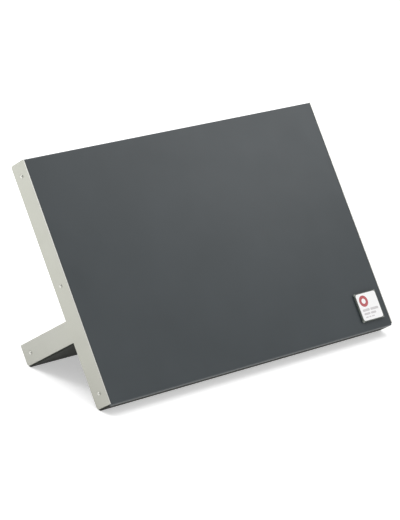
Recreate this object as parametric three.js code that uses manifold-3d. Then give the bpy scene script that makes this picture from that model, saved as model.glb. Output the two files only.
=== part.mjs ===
// A tilted magnetic knife board: a dark panel filled with magnets, held at a steep angle by
// a short leg as wide as the board, with a one-piece T of sheet steel pinned to each end. The
// plates stop short of the table, and the panels stand on it.
//
// Millimetres. The finished part stands on the plane z = 0 with +X right, the face of the
// board turned to -Y and up, and the origin under the middle of its bounding box.
//
// Every piece is drawn in the board's own upright frame, and one turned group leans them back
// together: x right from the middle, y into the board from its front face, z up the face
// from its bottom edge.

import * as THREE from 'three';
import { mergeVertices } from 'three/addons/utils/BufferGeometryUtils.js';
import Module from 'manifold-3d';

const wasm = await Module();
wasm.setup();

// Driving dimensions: the board, its leg and the two side plates.
const WIDTH = 332; // over both side plates
const HEIGHT = 213; // along the face
const THICKNESS = 18;
const LEG_THICKNESS = 20;
const LEG_REACH = 68; // behind the rear face of the board
const LEG_UNDERSIDE = 58; // up the face from the board's bottom edge
const PLATE_THICKNESS = 1;
const PLATE_INSET = 1.5; // from the undersides of the board and the leg
const CORNER_RADIUS = 2.5; // rear edges of the board, and the edge that the leg stands on
const REST_FLAT = 1.2; // flat on each of the two edges that stand on the table

// Fits.
const GAP = 0.3; // between pieces that meet face to face
const THIN_GAP = 0.1; // between the layers of the badge
const HEAD_GAP = 0.05; // under the small heads of the pins

// The front panel, which covers the magnets and the screws.
const FRONT_THICKNESS = 3;
const FRONT_EDGE_RADIUS = 1.5;

// The domed pins that hold each side plate.
const PIN_HEAD_RADIUS = 1.6;
const PIN_HEAD_HEIGHT = 0.9;
const PIN_SHANK_RADIUS = 0.8;
const PIN_LENGTH = 17; // under the head
const PIN_TIP = 1.6;
const PIN_DOME_STEPS = 4;
const PIN_PLACES = {
  top: { y: 9, z: 201.2 },
  middle: { y: 9, z: 105.7 },
  bottom: { y: 9, z: 13 },
  leg: { y: 76.4, z: 68.75 },
};

// Magnets in two rows, each on a strip of steel at the bottom of a routed trough.
const MAGNET = { length: 50, thickness: 8, height: 20 };
const MAGNET_PITCH = 55;
const MAGNETS_IN_ROW = 5;
const MAGNET_ROWS = { lower: 36, upper: 150 }; // middle of each row, up the face
const KEEPER = { length: 280, thickness: 1.5, height: 24 };
const TROUGH_LENGTH = 284;
const TROUGH_HEIGHT = 26;

// Countersunk screws and dowels between the board and its leg.
const SCREW_PLACES = { left: -110, middle: 0, right: 110 };
const SCREW_LENGTH = 50;
const SCREW_SHANK_RADIUS = 2.2;
const SCREW_HEAD_RADIUS = 4.6;
const SCREW_TIP = 4;
const DRIVE = { arm: 2.4, slot: 1, depth: 2 };
const DOWEL_PLACES = { left: -55, right: 55 };
const DOWEL_RADIUS = 4;
const DOWEL_LENGTH = 32;
const DOWEL_IN_CORE = 9.7;
const DOWEL_CHAMFER = 1;

// The badge, a square block stuck to the face with a printed card on it.
const BADGE = { x: 144.4, z: 21.7 };
const BADGE_ADHESIVE = { side: 25, thickness: 0.3, corner: 1 };
const BADGE_BASE = { side: 26.2, thickness: 1.4, corner: 1 };
const BADGE_CARD = { side: 24.4, thickness: 0.2, corner: 2 };

const ROUND_SIDES = 16; // around small turned pieces and holes
const ARC_SEGMENTS = 5; // along each stretch of a rounded edge
const PROUD = 1; // how far a cutter stands out of the face that it enters
const MERGE_DISTANCE = 1e-4; // vertices closer than this are one

// Worked out from the above.
const LEAN = Math.atan2(LEG_UNDERSIDE, LEG_REACH); // both standing edges reach the table
const PANEL_WIDTH = WIDTH - 2 * (PLATE_THICKNESS + GAP);
const CORE_FRONT = FRONT_THICKNESS + GAP;
const LEG_REAR = THICKNESS + LEG_REACH;
const LEG_TOP = LEG_UNDERSIDE + LEG_THICKNESS;
const LEG_MIDDLE = LEG_UNDERSIDE + LEG_THICKNESS / 2;
const TROUGH_DEPTH = MAGNET.thickness + KEEPER.thickness + 2 * GAP;

const X_AXIS = new THREE.Vector3(1, 0, 0);
const Y_AXIS = new THREE.Vector3(0, 1, 0);
const Z_AXIS = new THREE.Vector3(0, 0, 1);

const board = new THREE.Group();

function material(color, roughness, metalness) {
  return new THREE.MeshStandardMaterial({ color, roughness, metalness });
}

function place(name, geometry, look) {
  const mesh = new THREE.Mesh(geometry, look());
  mesh.name = name;
  board.add(mesh);
}

const darkSatin = () => material(0x54595c, 0.42, 0);
const paleSteel = () => material(0xc8c9be, 0.35, 1);
const polishedSteel = () => material(0xd2d3cc, 0.2, 1);
const zincSteel = () => material(0xa9adb0, 0.35, 1);
const ferrite = () => material(0x2f2f31, 0.6, 0);
const beech = () => material(0xc79f6b, 0.7, 0);
const smokePlastic = () => material(0x404440, 0.3, 0);
const foamTape = () => material(0x4a4c4a, 0.8, 0);
const whiteCard = () => material(0xf7f8f7, 0.4, 0);

// An outline drawn in (y, z) becomes a solid of the given length, centred on x.
function extrudeAlongX(outline, length, middle = 0) {
  const geometry = new THREE.ExtrudeGeometry(outline, {
    depth: length,
    bevelEnabled: false,
    curveSegments: ARC_SEGMENTS,
  });
  geometry.translate(0, 0, -length / 2);
  geometry.applyMatrix4(new THREE.Matrix4().makeBasis(Y_AXIS, Z_AXIS, X_AXIS));
  geometry.translate(middle, 0, 0);
  return geometry;
}

// A quarter round at the bottom rear of an outline, from pointing down to pointing back.
// The stretch that meets the table when the board leans is one short flat.
function addStandingCorner(outline, y, z) {
  const down = LEAN - Math.PI / 2;
  const halfFlat = Math.asin(REST_FLAT / 2 / CORNER_RADIUS);
  outline.lineTo(y, z - CORNER_RADIUS);
  outline.absarc(y, z, CORNER_RADIUS, -Math.PI / 2, down - halfFlat, false);
  outline.absarc(y, z, CORNER_RADIUS, down + halfFlat, 0, false);
}

function addTopRearCorner(outline) {
  const y = THICKNESS - CORNER_RADIUS;
  outline.absarc(y, HEIGHT - CORNER_RADIUS, CORNER_RADIUS, 0, Math.PI / 2, false);
}

function frontPanelOutline() {
  const outline = new THREE.Shape();
  const r = FRONT_EDGE_RADIUS;
  outline.moveTo(r, 0);
  outline.lineTo(FRONT_THICKNESS, 0);
  outline.lineTo(FRONT_THICKNESS, HEIGHT);
  outline.lineTo(r, HEIGHT);
  outline.absarc(r, HEIGHT - r, r, Math.PI / 2, Math.PI, false);
  outline.lineTo(0, r);
  outline.absarc(r, r, r, Math.PI, 1.5 * Math.PI, false);
  return outline;
}

function coreOutline() {
  const outline = new THREE.Shape();
  outline.moveTo(CORE_FRONT, 0);
  addStandingCorner(outline, THICKNESS - CORNER_RADIUS, CORNER_RADIUS);
  addTopRearCorner(outline);
  outline.lineTo(CORE_FRONT, HEIGHT);
  return outline;
}

function legOutline() {
  const outline = new THREE.Shape();
  outline.moveTo(THICKNESS + GAP, LEG_UNDERSIDE);
  addStandingCorner(outline, LEG_REAR - CORNER_RADIUS, LEG_UNDERSIDE + CORNER_RADIUS);
  outline.lineTo(LEG_REAR, LEG_TOP);
  outline.lineTo(THICKNESS + GAP, LEG_TOP);
  return outline;
}

function addBottomRearCorner(outline, y, z) {
  outline.absarc(y, z, CORNER_RADIUS, -Math.PI / 2, 0, false);
}

function sidePlateOutline() {
  const outline = new THREE.Shape();
  const armUnderside = LEG_UNDERSIDE + PLATE_INSET;
  outline.moveTo(0, PLATE_INSET);
  addBottomRearCorner(outline, THICKNESS - CORNER_RADIUS, PLATE_INSET + CORNER_RADIUS);
  outline.lineTo(THICKNESS, armUnderside);
  addBottomRearCorner(outline, LEG_REAR - CORNER_RADIUS, armUnderside + CORNER_RADIUS);
  outline.lineTo(LEG_REAR, LEG_TOP);
  outline.lineTo(THICKNESS, LEG_TOP);
  addTopRearCorner(outline);
  outline.lineTo(0, HEIGHT);
  return outline;
}

// A square with round corners, drawn in (x, z) and given a thickness towards the viewer.
function roundedSquare({ side, thickness, corner }, x, back, z) {
  const h = side / 2 - corner;
  const outline = new THREE.Shape();
  outline.absarc(h, h, corner, 0, Math.PI / 2, false);
  outline.absarc(-h, h, corner, Math.PI / 2, Math.PI, false);
  outline.absarc(-h, -h, corner, Math.PI, 1.5 * Math.PI, false);
  outline.absarc(h, -h, corner, 1.5 * Math.PI, 2 * Math.PI, false);
  const geometry = new THREE.ExtrudeGeometry(outline, {
    depth: thickness,
    bevelEnabled: false,
    curveSegments: ARC_SEGMENTS,
  });
  geometry.rotateX(Math.PI / 2);
  geometry.translate(x, back, z);
  return geometry;
}

// A turned piece: radii are given along its axis, which runs from the first point onwards.
// It is turned about +Y, so its axis already points into the board.
function turned(points) {
  const profile = points.map(([radius, along]) => new THREE.Vector2(radius, along));
  return new THREE.LatheGeometry(profile, ROUND_SIDES);
}

function cylinderAlongY(radius, start, end) {
  return turned([[0, start], [radius, start], [radius, end], [0, end]]);
}

function box(sizeX, sizeY, sizeZ, x, y, z) {
  const geometry = new THREE.BoxGeometry(sizeX, sizeY, sizeZ);
  geometry.translate(x, y, z);
  return geometry;
}

// Closed geometry to a manifold solid, and back.
function toSolid(geometry) {
  const bare = geometry.clone();
  bare.deleteAttribute('normal');
  bare.deleteAttribute('uv');
  const merged = mergeVertices(bare, MERGE_DISTANCE);
  const vertProperties = new Float32Array(merged.attributes.position.array);
  const triVerts = new Uint32Array(merged.index.array);
  return new wasm.Manifold(new wasm.Mesh({ numProp: 3, vertProperties, triVerts }));
}

function toGeometry(solid) {
  const mesh = solid.getMesh();
  const geometry = new THREE.BufferGeometry();
  geometry.setAttribute('position', new THREE.BufferAttribute(mesh.vertProperties, 3));
  geometry.setIndex(new THREE.BufferAttribute(mesh.triVerts, 1));
  geometry.computeVertexNormals();
  return geometry;
}

function cut(geometry, cutters) {
  let solid = toSolid(geometry);
  for (const cutter of cutters) {
    solid = solid.subtract(toSolid(cutter));
  }
  return toGeometry(solid);
}

// A pin driven in from one end of the board, drawn with its axis along x. side is -1 for the
// left end and +1 for the right.
function pinAxisGeometry(profile, side, { y, z }) {
  const geometry = turned(profile);
  geometry.rotateZ(side * -Math.PI / 2);
  geometry.translate(0, y, z);
  return geometry;
}

function pinGeometry(side, spot) {
  const seat = WIDTH / 2 + HEAD_GAP;
  const points = [[0, seat - PIN_LENGTH]];
  points.push([PIN_SHANK_RADIUS, seat - PIN_LENGTH + PIN_TIP]);
  points.push([PIN_SHANK_RADIUS, seat]);
  points.push([PIN_HEAD_RADIUS, seat]);
  for (let i = 1; i < PIN_DOME_STEPS; i += 1) {
    const angle = (i / PIN_DOME_STEPS) * Math.PI / 2;
    points.push([PIN_HEAD_RADIUS * Math.cos(angle), seat + PIN_HEAD_HEIGHT * Math.sin(angle)]);
  }
  points.push([0, seat + PIN_HEAD_HEIGHT]);
  return pinAxisGeometry(points, side, spot);
}

// The hole for a pin, through the plate and on into the panel.
function pinHole(side, spot) {
  const radius = PIN_SHANK_RADIUS + GAP;
  const bottom = WIDTH / 2 - PIN_LENGTH - GAP;
  const mouth = WIDTH / 2 + PROUD;
  return pinAxisGeometry([[0, bottom], [radius, bottom], [radius, mouth], [0, mouth]], side, spot);
}

function pinHoles(spots) {
  return [-1, 1].flatMap((side) => spots.map((spot) => pinHole(side, spot)));
}

// A countersunk wood screw with its head flush in the front of the core.
function screwGeometry(x) {
  const head = CORE_FRONT + GAP;
  const neck = head + SCREW_HEAD_RADIUS - SCREW_SHANK_RADIUS;
  const end = head + SCREW_LENGTH;
  const blank = turned([
    [0, head],
    [SCREW_HEAD_RADIUS, head],
    [SCREW_SHANK_RADIUS, neck],
    [SCREW_SHANK_RADIUS, end - SCREW_TIP],
    [0, end],
  ]);
  const across = box(2 * DRIVE.arm, 2 * DRIVE.depth, DRIVE.slot, 0, head, 0);
  const upright = box(DRIVE.slot, 2 * DRIVE.depth, 2 * DRIVE.arm, 0, head, 0);
  return cut(blank, [across, upright]).translate(x, 0, LEG_MIDDLE);
}

function screwHole(x) {
  const mouth = CORE_FRONT - PROUD;
  const end = CORE_FRONT + SCREW_LENGTH + 2 * GAP;
  const radius = SCREW_SHANK_RADIUS + GAP;
  const sinkRadius = SCREW_HEAD_RADIUS + GAP;
  const sinkStart = CORE_FRONT + 2 * GAP;
  const hole = turned([
    [0, mouth],
    [sinkRadius, mouth],
    [sinkRadius, sinkStart],
    [radius, sinkStart + sinkRadius - radius],
    [radius, end],
    [0, end],
  ]);
  return hole.translate(x, 0, LEG_MIDDLE);
}

function dowelGeometry(x) {
  const start = THICKNESS - DOWEL_IN_CORE;
  const end = start + DOWEL_LENGTH;
  const tip = DOWEL_RADIUS - DOWEL_CHAMFER;
  const geometry = turned([
    [0, start],
    [tip, start],
    [DOWEL_RADIUS, start + DOWEL_CHAMFER],
    [DOWEL_RADIUS, end - DOWEL_CHAMFER],
    [tip, end],
    [0, end],
  ]);
  return geometry.translate(x, 0, LEG_MIDDLE);
}

function dowelHole(x) {
  const start = THICKNESS - DOWEL_IN_CORE - GAP;
  const geometry = cylinderAlongY(DOWEL_RADIUS + GAP, start, start + DOWEL_LENGTH + 2 * GAP);
  return geometry.translate(x, 0, LEG_MIDDLE);
}

function legFixingHoles() {
  const screws = Object.values(SCREW_PLACES).map(screwHole);
  const dowels = Object.values(DOWEL_PLACES).map(dowelHole);
  return [...screws, ...dowels];
}

// A trough open to the front of the core.
function trough(z) {
  const depth = TROUGH_DEPTH + PROUD;
  return box(TROUGH_LENGTH, depth, TROUGH_HEIGHT, 0, CORE_FRONT - PROUD + depth / 2, z);
}

function addPanels() {
  const { top, middle, bottom, leg } = PIN_PLACES;
  const troughs = Object.values(MAGNET_ROWS).map(trough);
  const core = extrudeAlongX(coreOutline(), PANEL_WIDTH);
  const legBlank = extrudeAlongX(legOutline(), PANEL_WIDTH);
  place('front_panel', extrudeAlongX(frontPanelOutline(), PANEL_WIDTH), darkSatin);
  place('core_panel', cut(core, [
    ...troughs,
    ...legFixingHoles(),
    ...pinHoles([top, middle, bottom]),
  ]), darkSatin);
  place('leg_panel', cut(legBlank, [...legFixingHoles(), ...pinHoles([leg])]), darkSatin);
}

function addSidePlates() {
  const middle = (WIDTH - PLATE_THICKNESS) / 2;
  const holes = pinHoles(Object.values(PIN_PLACES));
  for (const [name, side] of [['left', -1], ['right', 1]]) {
    const blank = extrudeAlongX(sidePlateOutline(), PLATE_THICKNESS, side * middle);
    place(`${name}_side_plate`, cut(blank, holes), paleSteel);
    for (const [spotName, spot] of Object.entries(PIN_PLACES)) {
      place(`${name}_${spotName}_pin`, pinGeometry(side, spot), polishedSteel);
    }
  }
}

function addMagnets() {
  const { length, thickness, height } = MAGNET;
  const magnetMiddle = CORE_FRONT + thickness / 2;
  const keeperMiddle = CORE_FRONT + thickness + GAP + KEEPER.thickness / 2;
  for (const [row, z] of Object.entries(MAGNET_ROWS)) {
    const strip = box(KEEPER.length, KEEPER.thickness, KEEPER.height, 0, keeperMiddle, z);
    place(`${row}_keeper_strip`, strip, zincSteel);
    for (let i = 0; i < MAGNETS_IN_ROW; i += 1) {
      const x = (i - (MAGNETS_IN_ROW - 1) / 2) * MAGNET_PITCH;
      const block = box(length, thickness, height, x, magnetMiddle, z);
      place(`${row}_magnet_${i + 1}`, block, ferrite);
    }
  }
}

function addLegFixings() {
  for (const [name, x] of Object.entries(SCREW_PLACES)) {
    place(`${name}_leg_screw`, screwGeometry(x), zincSteel);
  }
  for (const [name, x] of Object.entries(DOWEL_PLACES)) {
    place(`${name}_leg_dowel`, dowelGeometry(x), beech);
  }
}

function addBadge() {
  const layers = [
    ['badge_adhesive', BADGE_ADHESIVE, foamTape],
    ['badge_base', BADGE_BASE, smokePlastic],
    ['badge_card', BADGE_CARD, whiteCard],
  ];
  let back = -THIN_GAP;
  for (const [name, size, look] of layers) {
    place(name, roundedSquare(size, BADGE.x, back, BADGE.z), look);
    back -= size.thickness + THIN_GAP;
  }
}

// Leans the board back on its two standing edges, and centres its box over the origin.
function standOnTable(group) {
  group.rotation.x = -LEAN;
  group.updateMatrixWorld(true);
  const bounds = new THREE.Box3().setFromObject(group, true);
  group.position.y = -(bounds.min.y + bounds.max.y) / 2;
  group.position.z = -bounds.min.z;
}

addPanels();
addSidePlates();
addMagnets();
addLegFixings();
addBadge();
standOnTable(board);

export default board;
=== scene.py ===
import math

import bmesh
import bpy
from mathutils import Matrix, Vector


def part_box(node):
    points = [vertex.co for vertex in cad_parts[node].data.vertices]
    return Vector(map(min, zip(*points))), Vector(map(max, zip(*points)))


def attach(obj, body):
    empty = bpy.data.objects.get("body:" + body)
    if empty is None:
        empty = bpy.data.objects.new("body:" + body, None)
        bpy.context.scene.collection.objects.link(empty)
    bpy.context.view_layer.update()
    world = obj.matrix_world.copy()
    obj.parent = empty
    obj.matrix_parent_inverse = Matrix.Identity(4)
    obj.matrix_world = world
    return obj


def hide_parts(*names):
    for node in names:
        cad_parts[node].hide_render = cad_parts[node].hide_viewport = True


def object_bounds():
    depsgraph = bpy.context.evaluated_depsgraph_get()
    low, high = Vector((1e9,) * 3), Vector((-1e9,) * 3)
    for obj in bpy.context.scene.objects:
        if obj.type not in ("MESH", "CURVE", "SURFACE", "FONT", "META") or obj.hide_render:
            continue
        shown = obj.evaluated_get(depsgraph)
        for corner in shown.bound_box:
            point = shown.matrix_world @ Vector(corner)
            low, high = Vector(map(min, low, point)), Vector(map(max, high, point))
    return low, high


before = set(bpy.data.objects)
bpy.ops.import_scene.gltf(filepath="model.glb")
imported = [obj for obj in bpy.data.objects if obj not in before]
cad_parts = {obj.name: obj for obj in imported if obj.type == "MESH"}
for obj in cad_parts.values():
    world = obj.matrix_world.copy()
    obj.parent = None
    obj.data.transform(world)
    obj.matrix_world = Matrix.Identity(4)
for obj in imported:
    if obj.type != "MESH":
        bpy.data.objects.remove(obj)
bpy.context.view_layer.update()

# The looks of a tilted magnetic knife board: dark satin panels, one-piece T side plates of
# brushed steel that stop short of the table, magnets and fixings inside, and a small badge.
#
# Shapes and textures are drawn in millimetres in the board's own upright frame: x right from
# the middle, y into the board from its face, z up the face from its bottom edge. BOARD leans
# that frame back and carries it to the row frame in metres.

MM = 0.001
BODY = "root"

# Shapes that the boxes of the CAD nodes don't give.
CORNER_RADIUS = 2.5  # rear edges of the board, and the edge that the leg stands on
REST_FLAT = 1.2  # flat on each of the two edges that stand on the table
FRONT_EDGE_RADIUS = 1.5
SEAM = 0.12  # left between the front panel and the core
END_SEAM = 0.15  # by which the front panel stops short of the core at each end
PANEL_ROUNDING = 0.3  # on the sawn edges of the panels
PLATE_ROUNDING = 0.2  # on the cut edges of the side plates
ARC_STEPS = 12  # along each stretch of a rounded edge
ROUNDING_STEPS = 3
TURNED_SIDES = 48
SHARP = math.radians(32)  # folds steeper than this are rounded, or stay crisp in the shading
EDGE = "edge"  # face attribute: 1 on rounded edges, 0 elsewhere


# ---------------------------------------------------------------- the board's own frame

def middle(node):
    low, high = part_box(node)
    return (Vector(low) + Vector(high)) / 2


def board_frame():
    """The lean of the board, from the line of pins up it, and the matrix of its frame."""
    up = middle("left_top_pin") - middle("left_bottom_pin")
    lean = math.atan2(up.y, up.z)
    leaning = Matrix.Rotation(-lean, 4, "X")
    upright = leaning.inverted()

    def least(node, axis):
        return min((upright @ v.co)[axis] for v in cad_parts[node].data.vertices)

    origin = Vector((0, least("left_side_plate", 1), least("core_panel", 2)))
    return lean, leaning @ Matrix.Translation(origin) @ Matrix.Scale(MM, 4)


LEAN, BOARD = board_frame()
FROM_ROW = BOARD.inverted()


def span(node):
    """The lowest and highest corners of a CAD node, in the board's frame."""
    points = [FROM_ROW @ v.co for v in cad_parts[node].data.vertices]
    low = Vector(min(p[i] for p in points) for i in range(3))
    high = Vector(max(p[i] for p in points) for i in range(3))
    return low, high


FRONT = span("front_panel")
CORE = span("core_panel")
LEG = span("leg_panel")
PLATES = {"left": span("left_side_plate"), "right": span("right_side_plate")}
HEIGHT = CORE[1].z
THICKNESS = CORE[1].y
LEG_UNDERSIDE = LEG[0].z
LEG_TOP = LEG[1].z
LEG_REAR = LEG[1].y
PLATE_INSET = PLATES["left"][0].z  # from the undersides of the board and the leg
CORE_FRONT = FRONT[1].y + SEAM


# ---------------------------------------------------------------- outlines and mesh code

def arc(y, z, radius, start, end, steps=ARC_STEPS):
    """Points round a corner, with angles in degrees from +y towards +z."""
    angles = [math.radians(start + (end - start) * i / steps) for i in range(steps + 1)]
    return [(y + radius * math.cos(a), z + radius * math.sin(a)) for a in angles]


def standing_corner(rear, bottom):
    """A rounded lower rear corner, with one short flat where it stands on the table."""
    y = rear - CORNER_RADIUS
    z = bottom + CORNER_RADIUS
    down = math.degrees(LEAN) - 90
    half_flat = math.degrees(math.asin(REST_FLAT / 2 / CORNER_RADIUS))
    before = arc(y, z, CORNER_RADIUS, -90, down - half_flat)
    after = arc(y, z, CORNER_RADIUS, down + half_flat, 0)
    return before + after


def top_rear_corner():
    return arc(THICKNESS - CORNER_RADIUS, HEIGHT - CORNER_RADIUS, CORNER_RADIUS, 0, 90)


def front_outline():
    r = FRONT_EDGE_RADIUS
    rear = FRONT[1].y
    return arc(r, r, r, 180, 270) + [(rear, 0), (rear, HEIGHT)] + arc(r, HEIGHT - r, r, 90, 180)


def core_outline():
    corners = standing_corner(THICKNESS, 0) + top_rear_corner()
    return [(CORE_FRONT, 0)] + corners + [(CORE_FRONT, HEIGHT)]


def leg_outline():
    front = LEG[0].y
    foot = standing_corner(LEG_REAR, LEG_UNDERSIDE)
    return [(front, LEG_UNDERSIDE)] + foot + [(LEG_REAR, LEG_TOP), (front, LEG_TOP)]


def bottom_rear_corner(rear, bottom):
    return arc(rear - CORNER_RADIUS, bottom + CORNER_RADIUS, CORNER_RADIUS, -90, 0)


def plate_outline():
    arm = LEG_UNDERSIDE + PLATE_INSET
    outline = [(0, PLATE_INSET)] + bottom_rear_corner(THICKNESS, PLATE_INSET)
    outline += [(THICKNESS, arm)] + bottom_rear_corner(LEG_REAR, arm) + [(LEG_REAR, LEG_TOP)]
    return outline + [(THICKNESS, LEG_TOP)] + top_rear_corner() + [(0, HEIGHT)]


def new_shape():
    shape = bmesh.new()
    shape.faces.layers.float.new(EDGE)
    return shape


def prism(outline, start, end, rim=0):
    """An outline in (y, z), anticlockwise, drawn out along x. rim marks the faces round it."""
    shape = new_shape()
    edge = shape.faces.layers.float[EDGE]
    near = [shape.verts.new((start, y, z)) for y, z in outline]
    far = [shape.verts.new((end, y, z)) for y, z in outline]
    shape.faces.new(reversed(near))
    shape.faces.new(far)
    count = len(outline)
    for i in range(count):
        j = (i + 1) % count
        face = shape.faces.new((near[i], near[j], far[j], far[i]))
        face[edge] = rim
    return shape


def block(low, high):
    """A cuboid between two corners."""
    outline = [(low.y, low.z), (high.y, low.z), (high.y, high.z), (low.y, high.z)]
    return prism(outline, low.x, high.x)


def tile(low, high, corner):
    """A thin square with round corners in (x, z), filling a box."""
    shape = new_shape()
    x0, x1 = low.x + corner, high.x - corner
    z0, z1 = low.z + corner, high.z - corner
    outline = arc(x1, z0, corner, -90, 0) + arc(x1, z1, corner, 0, 90)
    outline += arc(x0, z1, corner, 90, 180) + arc(x0, z0, corner, 180, 270)
    front = [shape.verts.new((x, low.y, z)) for x, z in outline]
    back = [shape.verts.new((x, high.y, z)) for x, z in outline]
    shape.faces.new(front)
    shape.faces.new(reversed(back))
    count = len(outline)
    for i in range(count):
        j = (i + 1) % count
        shape.faces.new((front[j], front[i], back[i], back[j]))
    return shape


def turned(profile, sides=TURNED_SIDES, radius_at=None):
    """A profile of (radius, along) points turned about +y.

    It goes from pole to pole, or closes on itself where it never meets the axis.
    radius_at(radius, along, angle) may cut threads or flutes into it.
    """
    shape = new_shape()
    rings = []
    for radius, along in profile:
        if radius == 0:
            rings.append([shape.verts.new((0, along, 0))])
            continue
        ring = []
        for i in range(sides):
            angle = 2 * math.pi * i / sides
            r = radius_at(radius, along, angle) if radius_at else radius
            ring.append(shape.verts.new((r * math.cos(angle), along, r * math.sin(angle))))
        rings.append(ring)
    spans = list(zip(rings, rings[1:]))
    if profile[0][0] > 0:
        spans.append((rings[-1], rings[0]))
    for near, far in spans:
        for i in range(sides):
            j = (i + 1) % sides
            if len(near) == 1:
                shape.faces.new((near[0], far[i], far[j]))
            elif len(far) == 1:
                shape.faces.new((near[j], near[i], far[0]))
            else:
                shape.faces.new((near[j], near[i], far[i], far[j]))
    bmesh.ops.recalc_face_normals(shape, faces=shape.faces)
    return shape


def rounded(shape, width, steps=ROUNDING_STEPS):
    """Rounds every sharp edge, and marks the new faces for wear, and on the side plates for a
    painted highlight.
    """
    sharp = [e for e in shape.edges if e.calc_face_angle(0) > SHARP]
    made = bmesh.ops.bevel(
        shape, geom=sharp, offset=width, offset_type="OFFSET", segments=steps, profile=0.5,
        affect="EDGES", clamp_overlap=True,
    )
    edge = shape.faces.layers.float[EDGE]
    for face in made["faces"]:
        face[edge] = 1
    return shape


def joined(shapes):
    """One shape out of several that don't touch."""
    whole = new_shape()
    for shape in shapes:
        mesh = bpy.data.meshes.new("part")
        shape.to_mesh(mesh)
        whole.from_mesh(mesh)
        bpy.data.meshes.remove(mesh)
    return whole


def evaluated(thing):
    """The mesh of an object after its modifiers."""
    graph = bpy.context.evaluated_depsgraph_get()
    return bpy.data.meshes.new_from_object(thing.evaluated_get(graph), depsgraph=graph)


def linked(name, shape):
    """A scene object made of a shape, which is used up."""
    mesh = bpy.data.meshes.new(name)
    shape.to_mesh(mesh)
    shape.free()
    thing = bpy.data.objects.new(name, mesh)
    bpy.context.scene.collection.objects.link(thing)
    return thing


def removed(thing):
    """Takes an object and its mesh out of the file."""
    mesh = thing.data
    bpy.data.objects.remove(thing)
    bpy.data.meshes.remove(mesh)


def cut(shape, cutters):
    """Takes cutters that don't touch each other out of a shape."""
    target = linked("target", shape)
    tool = linked("tool", joined(cutters))
    boolean = target.modifiers.new("cut", "BOOLEAN")
    boolean.operation = "DIFFERENCE"
    boolean.solver = "EXACT"
    boolean.object = tool
    mesh = evaluated(target)
    result = bmesh.new()
    result.from_mesh(mesh)
    bpy.data.meshes.remove(mesh)
    removed(target)
    removed(tool)
    return result


def moved(shape, x=0, y=0, z=0):
    """The same shape, shifted."""
    bmesh.ops.translate(shape, verts=shape.verts, vec=(x, y, z))
    return shape


def piece(name, shape, look, node=None):
    """A finished object: shaded crisp at its folds, carried to the row frame and riding."""
    for edge in shape.edges:
        edge.smooth = edge.calc_face_angle(0) < SHARP
    for face in shape.faces:
        face.smooth = True
    thing = linked(name, shape)
    thing.data.transform(BOARD)
    normals = thing.modifiers.new("normals", "WEIGHTED_NORMAL")
    normals.keep_sharp = True
    rough = thing.data
    thing.data = evaluated(thing)
    thing.modifiers.clear()
    bpy.data.meshes.remove(rough)
    thing.data.name = name
    thing.data.materials.clear()
    thing.data.materials.append(look)
    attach(thing, BODY)
    if node:
        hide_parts(node)
    return thing


# ---------------------------------------------------------------- materials

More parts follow.
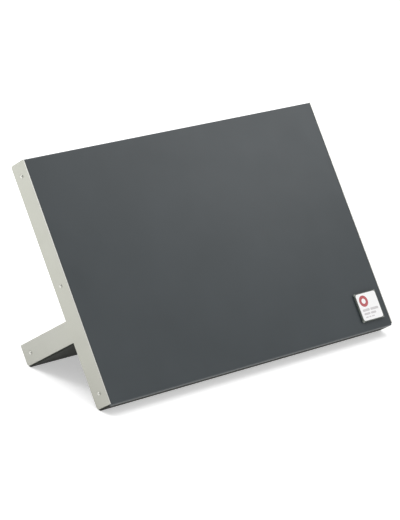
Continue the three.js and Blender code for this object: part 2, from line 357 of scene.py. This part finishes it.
class Look:
    """A node material whose textures are drawn in the board's millimetres."""

    def __init__(self, name, **sockets):
        self.material = bpy.data.materials.new(name)
        self.material.use_nodes = True
        self.tree = self.material.node_tree
        self.tree.nodes.clear()
        self.shader = self.tree.nodes.new("ShaderNodeBsdfPrincipled")
        output = self.tree.nodes.new("ShaderNodeOutputMaterial")
        self.tree.links.new(self.shader.outputs[0], output.inputs[0])
        for socket, value in sockets.items():
            self.shader.inputs[socket.replace("_", " ")].default_value = value
        place = self.tree.nodes.new("ShaderNodeTexCoord")
        into_board = self.tree.nodes.new("ShaderNodeMapping")
        into_board.vector_type = "TEXTURE"
        into_board.inputs["Location"].default_value = BOARD.translation
        into_board.inputs["Rotation"].default_value = BOARD.to_euler()
        into_board.inputs["Scale"].default_value = BOARD.to_scale()
        self.tree.links.new(place.outputs["Object"], into_board.inputs["Vector"])
        self.place = into_board.outputs["Vector"]

    def node(self, kind, inputs=(), **settings):
        """A node with its settings, its numbered inputs set or linked, and its output."""
        made = self.tree.nodes.new(kind)
        for setting, value in settings.items():
            setattr(made, setting, value)
        for key, value in dict(inputs).items():
            if isinstance(value, bpy.types.NodeSocket):
                self.tree.links.new(value, made.inputs[key])
            else:
                made.inputs[key].default_value = value
        return made.outputs[0]

    def stretched(self, x, y, z):
        """Coordinates for features of about these sizes in mm along each axis."""
        scale = {0: self.place, 1: (1 / x, 1 / y, 1 / z)}
        return self.node("ShaderNodeVectorMath", scale, operation="MULTIPLY")

    def noise(self, size, detail=2, roughness=0.5, distortion=0):
        """Noise from 0 to 1 with features of a size in mm, or of three sizes along x, y, z."""
        sizes = size if isinstance(size, tuple) else (size, size, size)
        inputs = {
            "Vector": self.stretched(*sizes), "Scale": 1, "Detail": detail,
            "Roughness": roughness, "Distortion": distortion,
        }
        return self.node("ShaderNodeTexNoise", inputs)

    def cells(self, size):
        """How far each point is from the middle of its cell, for cells of a size in mm."""
        inputs = {"Vector": self.stretched(size, size, size), "Scale": 1}
        return self.node("ShaderNodeTexVoronoi", inputs)

    def fit(self, value, low, high, to_low=0, to_high=1):
        """A value carried from one range to another, held inside it."""
        inputs = {0: value, 1: low, 2: high, 3: to_low, 4: to_high}
        return self.node("ShaderNodeMapRange", inputs)

    def math(self, operation, a, b=0):
        return self.node("ShaderNodeMath", {0: a, 1: b}, operation=operation)

    def mix(self, share, a, b):
        """A colour between two colours."""
        made = self.tree.nodes.new("ShaderNodeMix")
        made.data_type = "RGBA"
        for key, value in ((0, share), (6, a), (7, b)):
            if isinstance(value, bpy.types.NodeSocket):
                self.tree.links.new(value, made.inputs[key])
            elif key == 0:
                made.inputs[key].default_value = value
            else:
                made.inputs[key].default_value = (*value, 1)
        return made.outputs[2]

    def wear_and_highlight_marks(self):
        """1 on faces marked as edges, 0 elsewhere."""
        made = self.tree.nodes.new("ShaderNodeAttribute")
        made.attribute_name = EDGE
        return made.outputs["Fac"]

    def edge(self):
        """The marked edges, broken up as wear is."""
        patches = self.fit(self.noise(7, detail=4, roughness=0.7), 0.38, 0.62)
        return self.math("MULTIPLY", self.wear_and_highlight_marks(), patches)

    def axis(self, index):
        made = self.tree.nodes.new("ShaderNodeSeparateXYZ")
        self.tree.links.new(self.place, made.inputs[0])
        return made.outputs[index]

    def bump(self, height, depth, below=None):
        """A bump of a height from 0 to 1 that is so many mm deep, over another bump."""
        inputs = {"Height": height, "Distance": depth * MM, "Strength": 1}
        if below:
            inputs["Normal"] = below
        return self.node("ShaderNodeBump", inputs)

    def finish(self, color=None, roughness=None, normal=None):
        given = {"Base Color": color, "Roughness": roughness, "Normal": normal}
        for socket, value in given.items():
            if value is not None:
                self.tree.links.new(value, self.shader.inputs[socket])
        return self.material


def lacquer():
    """The face: satin dark lacquer, cloudy, faintly orange-peeled, paler at rubbed edges."""
    look = Look("dark_lacquer", IOR=1.5)
    clouds = look.fit(look.noise(70, detail=3), 0.3, 0.7)
    color = look.mix(clouds, (0.04, 0.049, 0.054), (0.047, 0.057, 0.063))
    specks = look.fit(look.noise(0.7, detail=1), 0.6, 0.75, 0, 0.25)
    color = look.mix(specks, color, (0.062, 0.07, 0.076))
    rubbed = look.math("MULTIPLY", look.edge(), 0.45)
    color = look.mix(rubbed, color, (0.11, 0.118, 0.122))
    smudges = look.fit(look.noise(32, detail=4, roughness=0.6, distortion=0.6), 0.3, 0.7)
    grain = look.noise(0.35, detail=2)
    smeared = look.fit(smudges, 0, 1, 0.27, 0.34)
    roughness = look.math("ADD", smeared, look.fit(grain, 0.3, 0.7, 0, 0.03))
    peel = look.bump(look.noise(1.7, detail=2), 0.0035)
    normal = look.bump(grain, 0.0006, below=peel)
    return look.finish(color=color, roughness=roughness, normal=normal)


def flat_paint():
    """The core and the leg: a darker, flatter coat that shows the grain of the fibreboard."""
    look = Look("flat_paint", IOR=1.5, Specular_IOR_Level=0.12)
    clouds = look.fit(look.noise(50, detail=3), 0.3, 0.7)
    color = look.mix(clouds, (0.031, 0.033, 0.029), (0.037, 0.039, 0.034))
    fibres = look.noise((6, 0.5, 0.5), detail=3, roughness=0.65)
    color = look.mix(look.fit(fibres, 0.55, 0.75, 0, 0.3), color, (0.058, 0.063, 0.066))
    color = look.mix(look.math("MULTIPLY", look.edge(), 0.5), color, (0.1, 0.1, 0.1))
    roughness = look.fit(look.noise(20, detail=4), 0.3, 0.7, 0.75, 0.85)
    normal = look.bump(fibres, 0.012)
    return look.finish(color=color, roughness=roughness, normal=normal)


def brushed_plate():
    """Sheet steel brushed up the board, with painted shade dulling it low down and a painted
    reflection tint making it a little cooler on the leg.
    """
    look = Look("brushed_plate", Metallic=1)
    strokes = look.noise((0.2, 0.16, 34), detail=3, roughness=0.6)
    long_strokes = look.noise((0.5, 0.6, 90), detail=2)
    # Painted reflection: the leg arm is tinted a little cooler, standing in for the different
    # surroundings it reflects.
    painted_reflection_tint = look.fit(look.axis(1), 16, 40)
    tone = look.mix(painted_reflection_tint, (0.41, 0.415, 0.366), (0.4, 0.404, 0.376))
    share = look.fit(strokes, 0.3, 0.7, 0, 0.5)
    color = look.mix(share, tone, (0.445, 0.45, 0.412))
    color = look.mix(look.fit(long_strokes, 0.4, 0.75, 0, 0.35), color, (0.365, 0.37, 0.332))
    handled = look.fit(look.noise(24, detail=4, distortion=0.5), 0.45, 0.75, 0, 0.3)
    color = look.mix(handled, color, (0.388, 0.388, 0.346))
    # Painted shade: the plate is dulled towards its bottom, standing in for the darker
    # surroundings it reflects low down.
    painted_shade_low = look.fit(look.axis(2), 195, 20, 0, 0.9)
    color = look.mix(painted_shade_low, color, (0.385, 0.386, 0.345))
    # Painted highlight: the marked cut rims and rounded edges of the plate are painted near
    # white, as if catching the light.
    color = look.mix(look.wear_and_highlight_marks(), color, (0.82, 0.82, 0.78))
    roughness = look.fit(strokes, 0.25, 0.75, 0.3, 0.4)
    roughness = look.math("ADD", roughness, look.math("MULTIPLY", handled, 0.2))
    normal = look.bump(long_strokes, 0.002, below=look.bump(strokes, 0.0016))
    return look.finish(color=color, roughness=roughness, normal=normal)


def pin_steel():
    """Bright drawn steel with faint scratches."""
    look = Look("pin_steel", Metallic=1)
    scratches = look.noise((0.9, 0.06, 0.06), detail=3)
    tarnish = look.fit(look.noise(0.8, detail=2), 0.3, 0.7)
    color = look.mix(tarnish, (0.51, 0.51, 0.47), (0.59, 0.59, 0.55))
    roughness = look.fit(scratches, 0.3, 0.7, 0.24, 0.34)
    return look.finish(color=color, roughness=roughness, normal=look.bump(scratches, 0.001))


def zinc_steel():
    """Zinc-plated steel with the soft iridescence and the spangle of its passivation."""
    look = Look("zinc_steel", Metallic=1)
    tints = look.fit(look.noise(9, detail=3, distortion=1), 0.35, 0.65)
    color = look.mix(tints, (0.4, 0.43, 0.46), (0.46, 0.45, 0.4))
    spangle = look.cells(2.2)
    color = look.mix(look.fit(spangle, 0, 0.9, 0, 0.25), color, (0.5, 0.52, 0.53))
    roughness = look.fit(look.noise(3, detail=4), 0.3, 0.7, 0.3, 0.48)
    normal = look.bump(look.noise(0.5, detail=3), 0.003)
    return look.finish(color=color, roughness=roughness, normal=normal)


def ferrite():
    """Sintered ferrite: near black, granular, with ground faces and paler chipped edges."""
    look = Look("ferrite", IOR=2)
    grains = look.noise(0.4, detail=5, roughness=0.7)
    color = look.mix(look.fit(grains, 0.35, 0.7), (0.022, 0.022, 0.023), (0.036, 0.035, 0.036))
    ground = look.noise((22, 0.3, 0.25), detail=2)
    color = look.mix(look.fit(ground, 0.5, 0.8, 0, 0.5), color, (0.045, 0.045, 0.047))
    color = look.mix(look.edge(), color, (0.075, 0.073, 0.072))
    roughness = look.fit(ground, 0.3, 0.7, 0.48, 0.68)
    normal = look.bump(ground, 0.004, below=look.bump(grains, 0.012))
    return look.finish(color=color, roughness=roughness, normal=normal)


def beech():
    """Beech with its grain and short flecks along the dowel."""
    look = Look("beech", IOR=1.45)
    grain = look.noise((0.7, 14, 0.7), detail=4, roughness=0.6)
    color = look.mix(look.fit(grain, 0.3, 0.7), (0.5, 0.29, 0.13), (0.64, 0.41, 0.21))
    flecks = look.fit(look.noise((0.25, 2.2, 0.25), detail=1), 0.62, 0.74, 0, 0.6)
    color = look.mix(flecks, color, (0.36, 0.18, 0.075))
    roughness = look.fit(grain, 0.3, 0.7, 0.55, 0.72)
    return look.finish(color=color, roughness=roughness, normal=look.bump(grain, 0.03))


def foam_tape():
    """Grey foam tape with open cells on its cut sides."""
    look = Look("foam_tape", IOR=1.4)
    cells = look.cells(0.18)
    color = look.mix(look.fit(cells, 0, 0.6), (0.2, 0.21, 0.2), (0.27, 0.28, 0.27))
    stains = look.fit(look.noise(5, detail=3), 0.4, 0.7, 0, 0.3)
    color = look.mix(stains, color, (0.235, 0.24, 0.23))
    roughness = look.fit(cells, 0, 0.7, 0.75, 0.95)
    return look.finish(color=color, roughness=roughness, normal=look.bump(cells, 0.03))


GLINT_REACH = 2  # how far the painted corner highlights of the badge's base reach along its sides
GLINT_PEAK = 0.8  # how far they stay at their brightest


def badge_block():
    """Dark green-grey moulded plastic, glossy, with painted highlights at its corners."""
    look = Look("badge_block", IOR=1.49)
    flow = look.fit(look.noise(6, detail=3, distortion=0.8), 0.3, 0.7)
    color = look.mix(flow, (0.1, 0.114, 0.101), (0.114, 0.129, 0.115))
    low, high = span("badge_base")
    near_sides = []
    for axis in (0, 2):
        half = (high[axis] - low[axis]) / 2
        off_middle = look.math("SUBTRACT", look.axis(axis), low[axis] + half)
        reach = look.math("ABSOLUTE", off_middle)
        near_sides.append(look.fit(reach, half - GLINT_REACH, half - GLINT_PEAK))
    corners = look.math("MULTIPLY", *near_sides)
    # Painted highlight: the base's corners are painted pale, standing in for glints of light on
    # them.
    color = look.mix(look.math("MULTIPLY", corners, 0.55), color, (0.4, 0.42, 0.39))
    roughness = look.fit(look.noise(2.5, detail=4), 0.3, 0.7, 0.2, 0.32)
    normal = look.bump(look.noise(0.6, detail=2), 0.001)
    return look.finish(color=color, roughness=roughness, normal=normal)


def printed(name, dark, light, gloss):
    """Coated card or an ink on it: paper fibres below and a faint print screen."""
    look = Look(name, IOR=1.5)
    fibres = look.noise((0.35, 0.1, 0.08), detail=4, roughness=0.65, distortion=0.4)
    screen = look.cells(0.14)
    share = look.math("ADD", look.fit(fibres, 0.3, 0.7, 0, 0.6), look.fit(screen, 0, 0.7, 0, 0.4))
    color = look.mix(share, dark, light)
    roughness = look.fit(fibres, 0.3, 0.7, gloss, gloss + 0.1)
    return look.finish(color=color, roughness=roughness, normal=look.bump(fibres, 0.002))


# ---------------------------------------------------------------- panels and plates

PIN_SPOTS = ("top", "middle", "bottom", "leg")
PIN_SHANK_RADIUS = 0.8
SCREW_SPOTS = ("left", "middle", "right")
SCREW_SHANK_RADIUS = 2.2
SCREW_HEAD_RADIUS = 4.6
DOWEL_SPOTS = ("left", "right")
HOLE_ROOM = 0.3  # round the shank of a pin, a screw or a dowel
PLATE_HOLE_ROOM = 0.1  # round a pin in a side plate, where its head covers the hole
TROUGH_ROOM = Vector((2, HOLE_ROOM, 1))  # round a keeper strip, along each axis
MOUTH = 1  # how far a cutter sticks out of the face that it enters


def pin_axis(side, spot):
    """Where a pin stands in (y, z)."""
    low, high = span(f"{side}_{spot}_pin")
    return (low.y + high.y) / 2, (low.z + high.z) / 2


def across(shape, side):
    """Turns a shape drawn along +y to point along x, from the left end or the right end."""
    angle = -math.pi / 2 if side == "left" else math.pi / 2
    turn = Matrix.Rotation(angle, 3, "Z")
    bmesh.ops.rotate(shape, verts=shape.verts, cent=(0, 0, 0), matrix=turn)
    return shape


def pin_hole(side, spot, room):
    low, high = span(f"{side}_{spot}_pin")
    y, z = pin_axis(side, spot)
    end = PLATES["right"][1].x
    reach = high.x - low.x + HOLE_ROOM
    radius = PIN_SHANK_RADIUS + room
    profile = [(0, -MOUTH), (radius, -MOUTH), (radius, reach), (0, reach)]
    hole = across(turned(profile), side)
    return moved(hole, x=-end if side == "left" else end, y=y, z=z)


def pin_holes(spots, room=HOLE_ROOM, sides=("left", "right")):
    return [pin_hole(side, spot, room) for side in sides for spot in spots]


def fixing_middle(node):
    """The x of a screw's or a dowel's axis, where it starts and ends along y, and its z."""
    low, high = span(node)
    return (low.x + high.x) / 2, low.y, high.y, (low.z + high.z) / 2


def screw_hole(spot):
    x, start, end, z = fixing_middle(f"{spot}_leg_screw")
    shank = SCREW_SHANK_RADIUS + HOLE_ROOM
    sink = SCREW_HEAD_RADIUS + HOLE_ROOM
    profile = [(0, CORE_FRONT - MOUTH), (sink, CORE_FRONT - MOUTH), (sink, start + HOLE_ROOM)]
    profile += [(shank, start + HOLE_ROOM + sink - shank), (shank, end + HOLE_ROOM)]
    profile += [(0, end + HOLE_ROOM)]
    return moved(turned(profile), x=x, z=z)


def dowel_hole(spot):
    x, start, end, z = fixing_middle(f"{spot}_leg_dowel")
    low, high = span(f"{spot}_leg_dowel")
    radius = (high.z - low.z) / 2 + HOLE_ROOM
    profile = [(0, start - HOLE_ROOM), (radius, start - HOLE_ROOM)]
    profile += [(radius, end + HOLE_ROOM), (0, end + HOLE_ROOM)]
    return moved(turned(profile), x=x, z=z)


def trough(row):
    """The routed trough of a row of magnets, a little larger than its keeper strip."""
    low, high = span(f"{row}_keeper_strip")
    low -= TROUGH_ROOM
    low.y = CORE_FRONT - MOUTH
    return block(low, high + TROUGH_ROOM)


def make_panels(satin, flat):
    left, right = CORE[0].x, CORE[1].x
    front = prism(front_outline(), left + END_SEAM, right - END_SEAM)
    front = rounded(front, PANEL_ROUNDING)
    piece("front_panel_fine", front, satin, "front_panel")
    fixings = [screw_hole(spot) for spot in SCREW_SPOTS]
    fixings += [dowel_hole(spot) for spot in DOWEL_SPOTS]
    core = rounded(prism(core_outline(), left, right), PANEL_ROUNDING)
    troughs = [trough("lower"), trough("upper")]
    core = cut(core, troughs + fixings + pin_holes(("top", "middle", "bottom")))
    piece("core_panel_fine", core, flat, "core_panel")
    leg = rounded(prism(leg_outline(), left, right), PANEL_ROUNDING)
    leg = cut(leg, fixings + pin_holes(("leg",)))
    piece("leg_panel_fine", leg, flat, "leg_panel")


def make_plates(steel):
    for side, (low, high) in PLATES.items():
        # rim=1 marks the plate's cut rims, which brushed_plate paints pale as a painted
        # highlight.
        plate = rounded(prism(plate_outline(), low.x, high.x, rim=1), PLATE_ROUNDING)
        plate = cut(plate, pin_holes(PIN_SPOTS, PLATE_HOLE_ROOM, (side,)))
        node = f"{side}_side_plate"
        piece(f"{node}_fine", plate, steel, node)


# ---------------------------------------------------------------- pins, screws and dowels

PIN_HEAD_HEIGHT = 0.9
PIN_TIP = 1.6  # length of its point
PIN_RIM = 0.08  # upright rim of the head, under its dome
PIN_RINGS = {"count": 8, "from_head": 2.5, "pitch": 0.6, "depth": 0.08}
SCREW_TIP = 4  # length of its point
SCREW_RIM = 0.35  # upright rim of the head, over its cone
SCREW_CHAMFER = 0.15  # round the top of the head
SCREW_SIDES = 36
THREAD = {"pitch": 2.2, "depth": 0.55, "width": 0.26, "smooth": 16, "rows": 10}
DRIVE = {"arm": 2.4, "slot": 1, "depth": 2}  # a cross recess
DOWEL_CHAMFER = 1
FLUTES = {"count": 20, "depth": 0.22, "sides": 160}  # along a dowel


def pin_shape(side, spot):
    """A domed pin, drawn from the top of its head along +y, with fine rings on its shank."""
    low, high = span(f"{side}_{spot}_pin")
    y, z = pin_axis(side, spot)
    head = (high.y - low.y) / 2
    length = high.x - low.x
    dome = PIN_HEAD_HEIGHT - PIN_RIM
    profile = [(0, 0)]
    for i in range(1, ARC_STEPS + 1):
        angle = math.radians(90 * i / ARC_STEPS)
        profile.append((head * math.sin(angle), dome * (1 - math.cos(angle))))
    profile += [(head, PIN_HEAD_HEIGHT), (PIN_SHANK_RADIUS, PIN_HEAD_HEIGHT)]
    groove = PIN_SHANK_RADIUS - PIN_RINGS["depth"]
    for i in range(PIN_RINGS["count"]):
        start = PIN_HEAD_HEIGHT + PIN_RINGS["from_head"] + i * PIN_RINGS["pitch"]
        profile += [(PIN_SHANK_RADIUS, start), (groove, start + PIN_RINGS["pitch"] / 2)]
    profile += [(PIN_SHANK_RADIUS, length - PIN_TIP), (0, length)]
    shape = across(turned(profile), side)
    return moved(shape, x=low.x if side == "left" else high.x, y=y, z=z)


def thread_profile(start, end):
    """A countersunk head, a smooth neck, a threaded shank and a pointed tip."""
    neck = start + SCREW_HEAD_RADIUS - SCREW_SHANK_RADIUS
    profile = [(0, start), (SCREW_HEAD_RADIUS - SCREW_CHAMFER, start)]
    profile += [(SCREW_HEAD_RADIUS, start + SCREW_CHAMFER)]
    profile += [(SCREW_HEAD_RADIUS, start + SCREW_RIM), (SCREW_SHANK_RADIUS, neck + SCREW_RIM)]
    along = start + THREAD["smooth"]
    step = THREAD["pitch"] / THREAD["rows"]
    while along < end - step:
        taper = min(1, (end - along) / SCREW_TIP)
        profile.append((SCREW_SHANK_RADIUS * taper, along))
        along += step
    return profile + [(0, end)]


def screw_shape(spot):
    x, start, end, z = fixing_middle(f"{spot}_leg_screw")
    threads_from = start + THREAD["smooth"]

    def threaded(radius, along, angle):
        if along < threads_from:
            return radius
        phase = ((along - threads_from) / THREAD["pitch"] - angle / (2 * math.pi)) % 1
        ridge = max(0, 1 - abs(phase - 0.5) / THREAD["width"])
        deep = THREAD["depth"] * min(1, radius / SCREW_SHANK_RADIUS)
        return radius - deep * (1 - ridge)

    screw = turned(thread_profile(start, end), sides=SCREW_SIDES, radius_at=threaded)
    arm, slot, depth = DRIVE["arm"], DRIVE["slot"] / 2, DRIVE["depth"]
    level = block(Vector((-arm, start - MOUTH, -slot)), Vector((arm, start + depth, slot)))
    screw = cut(screw, [level])
    upright = block(Vector((-slot, start - MOUTH, -arm)), Vector((slot, start + depth, arm)))
    return moved(cut(screw, [upright]), x=x, z=z)


def dowel_shape(spot):
    x, start, end, z = fixing_middle(f"{spot}_leg_dowel")
    low, high = span(f"{spot}_leg_dowel")
    radius = (high.z - low.z) / 2
    tip = radius - DOWEL_CHAMFER

    def fluted(r, along, angle):
        groove = max(0, math.cos(FLUTES["count"] * angle)) ** 3
        return r - FLUTES["depth"] * groove if r > tip else r

    profile = [(0, start), (tip, start), (radius, start + DOWEL_CHAMFER)]
    profile += [(radius, end - DOWEL_CHAMFER), (tip, end), (0, end)]
    return moved(turned(profile, FLUTES["sides"], fluted), x=x, z=z)


def make_fixings(bright, zinc, wood):
    for side in PLATES:
        for spot in PIN_SPOTS:
            node = f"{side}_{spot}_pin"
            piece(f"{node}_fine", pin_shape(side, spot), bright, node)
    for spot in SCREW_SPOTS:
        node = f"{spot}_leg_screw"
        piece(f"{node}_fine", screw_shape(spot), zinc, node)
    for spot in DOWEL_SPOTS:
        node = f"{spot}_leg_dowel"
        piece(f"{node}_fine", dowel_shape(spot), wood, node)


# ---------------------------------------------------------------- magnets

MAGNETS_IN_ROW = 5
MAGNET_ROUNDING = 0.5
KEEPER_ROUNDING = 0.2


def make_magnets(black, zinc):
    for row in ("lower", "upper"):
        node = f"{row}_keeper_strip"
        strip = rounded(block(*span(node)), KEEPER_ROUNDING)
        piece(f"{node}_fine", strip, zinc, node)
        for number in range(1, MAGNETS_IN_ROW + 1):
            node = f"{row}_magnet_{number}"
            magnet = rounded(block(*span(node)), MAGNET_ROUNDING)
            piece(f"{node}_fine", magnet, black, node)


# ---------------------------------------------------------------- badge

BADGE_LAYERS = {
    "badge_adhesive": {"corner": 1, "rounding": 0.06, "slot": "foam_tape"},
    "badge_base": {"corner": 1, "rounding": 0.14, "slot": "badge_block"},
    "badge_card": {"corner": 2, "rounding": 0.05, "slot": "badge_print"},
}
INK = 0.02  # thickness of the print
RING = {"x": -4.9, "z": 5.2, "radius": 5.2, "hole": 2.4, "sides": 72}
BAR_LINES = (
    {"x": -9.9, "z": -3, "height": 2.2, "bars": (8.8, 10)},
    {"x": -9.4, "z": -6.4, "height": 1.9, "bars": (7.4, 6.6)},
    {"x": -8.8, "z": -9.4, "height": 1.1, "bars": (3.2, 2.6, 3.6)},
)
BAR_SPACE = 0.8  # between the bars of a line
BAR_ROUNDING = 1 / 2.2  # of the height of a bar, at its corners


def print_ring(face, x, z):
    """A flat ring of ink on the face of the card."""
    top = face - INK
    outer, inner = RING["radius"], RING["hole"]
    ring = turned([(inner, top), (outer, top), (outer, face), (inner, face)], RING["sides"])
    return moved(ring, x=x + RING["x"], z=z + RING["z"])


def make_badge(looks, red, grey):
    for node, made in BADGE_LAYERS.items():
        low, high = span(node)
        layer = rounded(tile(low, high, made["corner"]), made["rounding"])
        piece(f"{node}_fine", layer, looks[node], node)
    low, high = span("badge_card")
    x = (low.x + high.x) / 2
    z = (low.z + high.z) / 2
    piece("badge_ring", print_ring(low.y, x, z), red)
    for number, line in enumerate(BAR_LINES, 1):
        start = Vector((x + line["x"], low.y - INK, z + line["z"] - line["height"] / 2))
        bars = []
        for length in line["bars"]:
            end = start + Vector((length, INK, line["height"]))
            bars.append(tile(start, end, line["height"] * BAR_ROUNDING))
            start.x = end.x + BAR_SPACE
        piece(f"badge_line_{number}", joined(bars), grey)


# ---------------------------------------------------------------- floor, lights and camera

FLOOR_SIZE = 12  # metres
FLOOR_GLOW = 0.45  # the table is lit a little from below, which keeps it white in the shadows
ROOM_LIGHT = 0.6
SOFTBOXES = {  # in metres, in the row frame
    "overhead": {"place": (0, 0.6, 2.4), "target": (0, 0, 0), "side": 3.2, "radiance": 1.1},
    "rear_left": {
        "place": (-0.75, 0.75, 1.0), "target": (-0.5, 0.5, 0), "side": 0.55, "radiance": 6,
    },
    "near_right": {
        "place": (0.5, -0.14, 0.56), "target": (0.1, 0.03, 0.12), "side": 0.4, "radiance": 1.2,
    },
}


def make_floor():
    """A plain pale floor at the height that the part stands on."""
    shape = bmesh.new()
    bmesh.ops.create_grid(shape, x_segments=1, y_segments=1, size=FLOOR_SIZE / 2)
    floor = linked("floor", shape)
    floor.location.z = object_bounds()[0][2]
    look = Look("pale_floor", Specular_IOR_Level=0.2)
    look.shader.inputs["Emission Color"].default_value = (1, 1, 1, 1)
    look.shader.inputs["Emission Strength"].default_value = FLOOR_GLOW
    mottle = look.fit(look.noise(400, detail=2), 0.3, 0.7)
    color = look.mix(mottle, (0.855, 0.855, 0.855), (0.865, 0.865, 0.865))
    roughness = look.fit(mottle, 0, 1, 0.6, 0.65)
    floor.data.materials.append(look.finish(color=color, roughness=roughness))


def aim(thing, place, target):
    """Puts a light at a place and points it at a target."""
    thing.location = place
    thing.rotation_euler = (Vector(target) - Vector(place)).to_track_quat("-Z", "Y").to_euler()


def softbox(name, place, target, side, radiance):
    """A square area light, with its side in metres and the brightness of its face."""
    light = bpy.data.lights.new(name, "AREA")
    light.shape = "RECTANGLE"
    light.size = light.size_y = side
    light.energy = radiance * math.pi * side ** 2
    thing = bpy.data.objects.new(name, light)
    bpy.context.scene.collection.objects.link(thing)
    aim(thing, place, target)


def make_lights():
    world = bpy.data.worlds.new("studio")
    world.use_nodes = True
    background = world.node_tree.nodes["Background"]
    background.inputs["Color"].default_value = (1, 1, 1, 1)
    background.inputs["Strength"].default_value = ROOM_LIGHT
    bpy.context.scene.world = world
    for name, light in SOFTBOXES.items():
        softbox(name, **light)


# The camera looks down at the left end of the board, turned a little about its own axis.
# Lengths are in millimetres in the row frame, and angles in degrees.
CAMERA = {
    "target": (-6.142, 3.89, 75.162), "distance": 2210.7, "azimuth": 45.6, "elevation": 22.94,
    "roll": 7.879, "lens": 179.521, "sensor": 36,
}


def make_camera():
    azimuth = math.radians(CAMERA["azimuth"])
    elevation = math.radians(CAMERA["elevation"])
    level = Vector((math.sin(azimuth), math.cos(azimuth), 0)) * math.cos(elevation)
    forward = level - Vector((0, 0, math.sin(elevation)))
    right = forward.cross(Vector((0, 0, 1))).normalized()
    up = right.cross(forward)
    turn = Matrix.Rotation(math.radians(-CAMERA["roll"]), 3, forward)
    axes = Matrix((turn @ right, turn @ up, -forward)).transposed().to_4x4()
    place = (Vector(CAMERA["target"]) - forward * CAMERA["distance"]) * MM
    data = bpy.data.cameras.new("camera")
    data.sensor_width = CAMERA["sensor"]
    data.lens = CAMERA["lens"]
    camera = bpy.data.objects.new("camera", data)
    bpy.context.scene.collection.objects.link(camera)
    camera.matrix_world = Matrix.Translation(place) @ axes
    bpy.context.scene.camera = camera


# ---------------------------------------------------------------- the whole scene

make_camera()
zinc = zinc_steel()
make_panels(lacquer(), flat_paint())
make_plates(brushed_plate())
make_fixings(pin_steel(), zinc, beech())
make_magnets(ferrite(), zinc)
badge_looks = {
    "badge_adhesive": foam_tape(),
    "badge_base": badge_block(),
    "badge_card": printed("white_card", (0.91, 0.91, 0.91), (0.97, 0.97, 0.97), 0.3),
}
red_ink = printed("red_ink", (0.44, 0.09, 0.1), (0.54, 0.13, 0.14), 0.3)
grey_ink = printed("grey_ink", (0.58, 0.56, 0.57), (0.7, 0.68, 0.69), 0.35)
make_badge(badge_looks, red_ink, grey_ink)
make_floor()
make_lights()
bpy.context.scene.view_settings.view_transform = "Standard"
